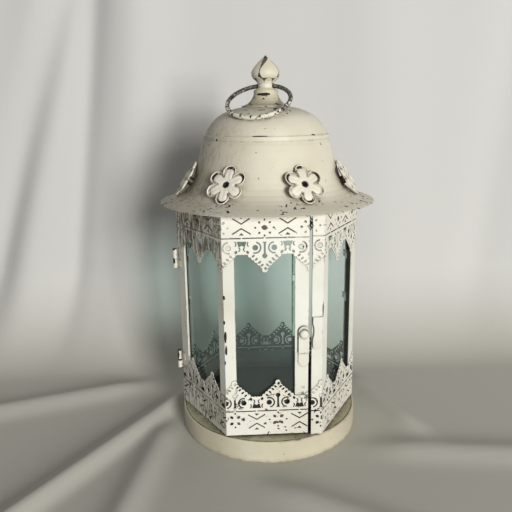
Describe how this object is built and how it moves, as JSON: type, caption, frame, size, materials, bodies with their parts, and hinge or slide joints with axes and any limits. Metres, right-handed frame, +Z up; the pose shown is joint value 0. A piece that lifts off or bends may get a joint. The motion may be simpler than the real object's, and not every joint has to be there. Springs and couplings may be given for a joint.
{
  "type": "candle lantern",
  "caption": "Hexagonal candle lantern of painted sheet metal with glass panes, a bent hinged door with a turn latch, a flared bell roof with applied flowers, a bud finial and a ring handle.",
  "frame": {"origin": "on the lantern's centre line, at the underside of the base drum", "axes": "+Z up, -Y out of the front of the door, +X to the right"},
  "size_m": [0.185, 0.185, 0.33],
  "materials": {
    "cream_paint": "satin paint, worn, with dark patina in the creases",
    "openwork_paint": "satin paint, worn, with dark outlines round the holes",
    "cast_paint": "painted casting, worn",
    "dark_steel": "dark worn steel, partly painted",
    "glass": "clear old glass, slightly grey-green"
  },
  "bodies": {
    "frame": {"base_band": "cream_paint", "floor_plate": "cream_paint", "post_front_right": "cream_paint", "post_right": "cream_paint", "post_back_right": "cream_paint", "post_back_left": "cream_paint", "post_left": "cream_paint", "rail_lower_front_right": "cream_paint", "rail_lower_back_right": "cream_paint", "rail_lower_back": "cream_paint", "rail_lower_back_left": "cream_paint", "rail_upper_front_right": "cream_paint", "rail_upper_back_right": "cream_paint", "rail_upper_back": "cream_paint", "rail_upper_back_left": "cream_paint", "pane_front_right": "glass", "pane_back_right": "glass", "pane_back": "glass", "pane_back_left": "glass", "frame_glass_clips": "cream_paint", "frame_lace_lower": "openwork_paint", "frame_lace_upper": "openwork_paint", "keeper": "cream_paint", "hinge_leaf_frame_upper": "cream_paint", "hinge_leaf_frame_lower": "cream_paint", "hinge_pins": "dark_steel", "top_plate": "cream_paint", "roof_skirt": "cream_paint", "roof_dome": "cream_paint", "crown": "cream_paint", "finial": "cast_paint", "stem_washer": "dark_steel", "stem_nut": "dark_steel", "flower_1": "openwork_paint", "flower_2": "openwork_paint", "flower_3": "openwork_paint", "flower_4": "openwork_paint", "flower_5": "openwork_paint", "flower_6": "openwork_paint", "flower_7": "openwork_paint", "flower_rivets": "cream_paint"},
    "door": {"door_hinge_stile": "cream_paint", "door_corner_post": "cream_paint", "door_latch_stile": "cream_paint", "door_rail_lower_left": "cream_paint", "door_rail_upper_left": "cream_paint", "door_rail_lower_front": "cream_paint", "door_rail_upper_front": "cream_paint", "door_pane_left": "glass", "door_pane_front": "glass", "door_glass_clips": "cream_paint", "door_lace_lower": "openwork_paint", "door_lace_upper": "openwork_paint", "hinge_leaf_door_upper": "cream_paint", "hinge_leaf_door_lower": "cream_paint", "latch_plate": "cream_paint"},
    "latch": {"latch_knob": "cream_paint", "latch_tongue": "cream_paint"},
    "ring": {"ring_handle": "dark_steel"}
  },
  "joints": [
    {"name": "door_swing", "type": "hinge", "parent": "frame", "child": "door", "pos_m": [-0.0826, 0, 0.11], "axis": [0, 0, -1], "range_deg": [0, 110]},
    {"name": "latch_turn", "type": "hinge", "parent": "door", "child": "latch", "pos_m": [0.0243, -0.0711, 0.1105], "axis": [0, -1, 0], "range_deg": [0, 90]},
    {"name": "ring_swing", "type": "hinge", "parent": "frame", "child": "ring", "pos_m": [0, 0, 0.3058], "axis": [-0.9455, 0.3256, 0], "range_deg": [0, 238]}
  ]
}
